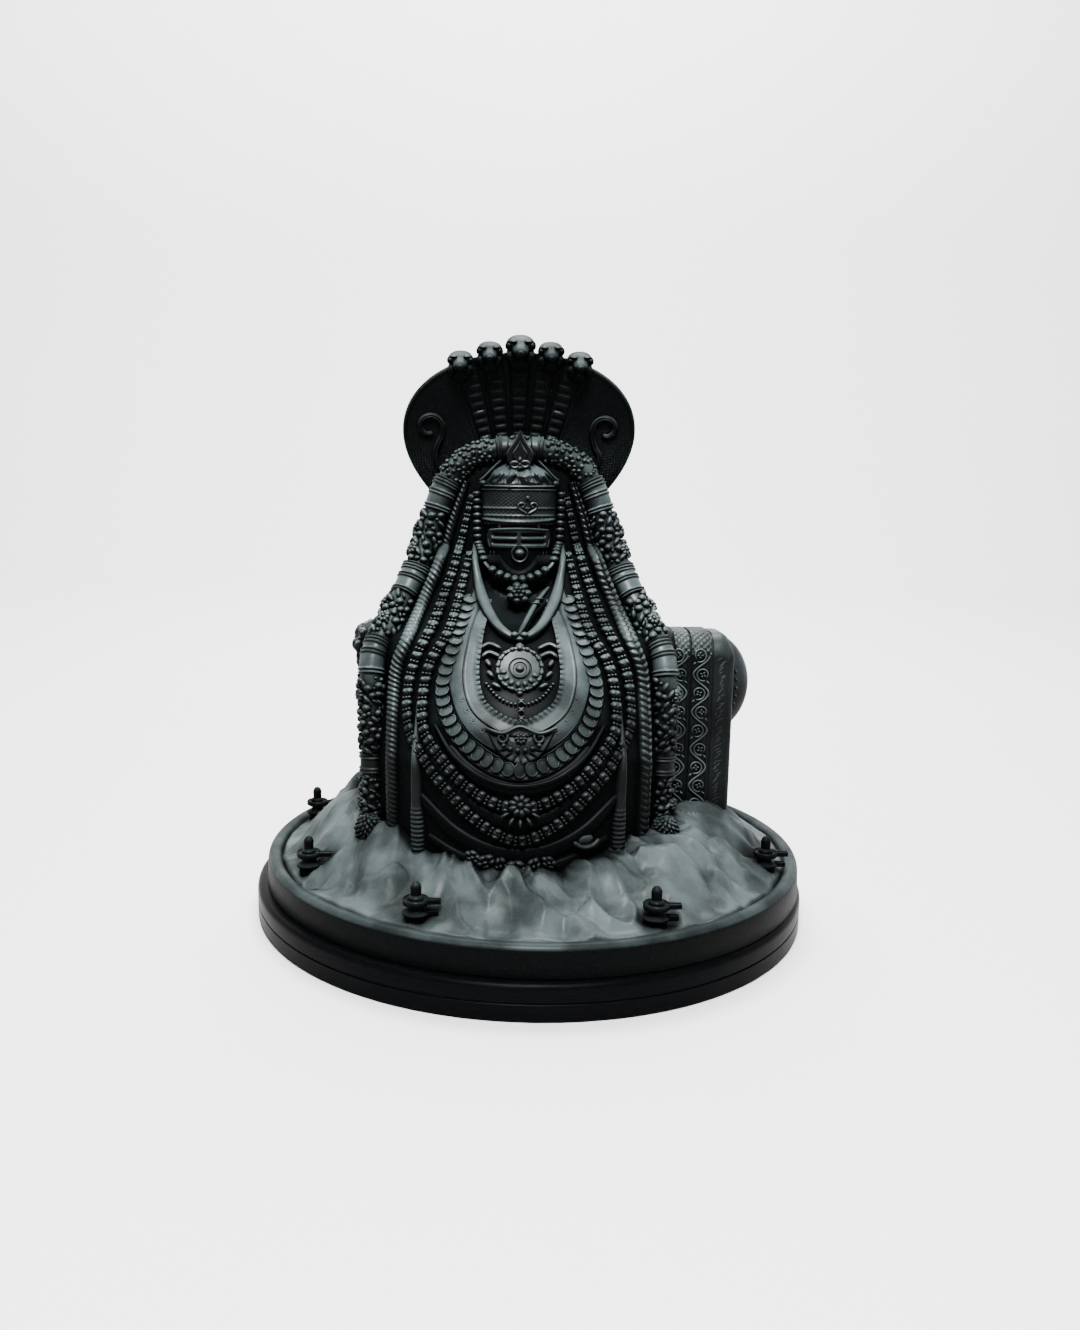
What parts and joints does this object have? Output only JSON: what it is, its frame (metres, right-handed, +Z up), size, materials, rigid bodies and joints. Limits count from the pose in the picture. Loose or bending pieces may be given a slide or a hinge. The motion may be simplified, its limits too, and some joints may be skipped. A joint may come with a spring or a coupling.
{
  "type": "dressed shiva linga figure",
  "caption": "Black moulded figure of a dressed Shiva linga under a cobra hood, on a draped round pedestal with a side spout, ringed by small lingas on a round plinth.",
  "frame": {"origin": "centre of the round plinth's underside", "axes": "+Z up, -Y towards the viewer of the linga's face, +X to that viewer's right, where the spout runs out"},
  "size_m": [0.15, 0.15, 0.1552],
  "materials": {
    "plinth_paint": "satin black paint with faint brush streaks",
    "figure_paint": "satin black paint on cast marble dust, grey on the high places"
  },
  "bodies": {
    "root": {"plinth": "plinth_paint", "figure": "figure_paint"}
  },
  "joints": []
}
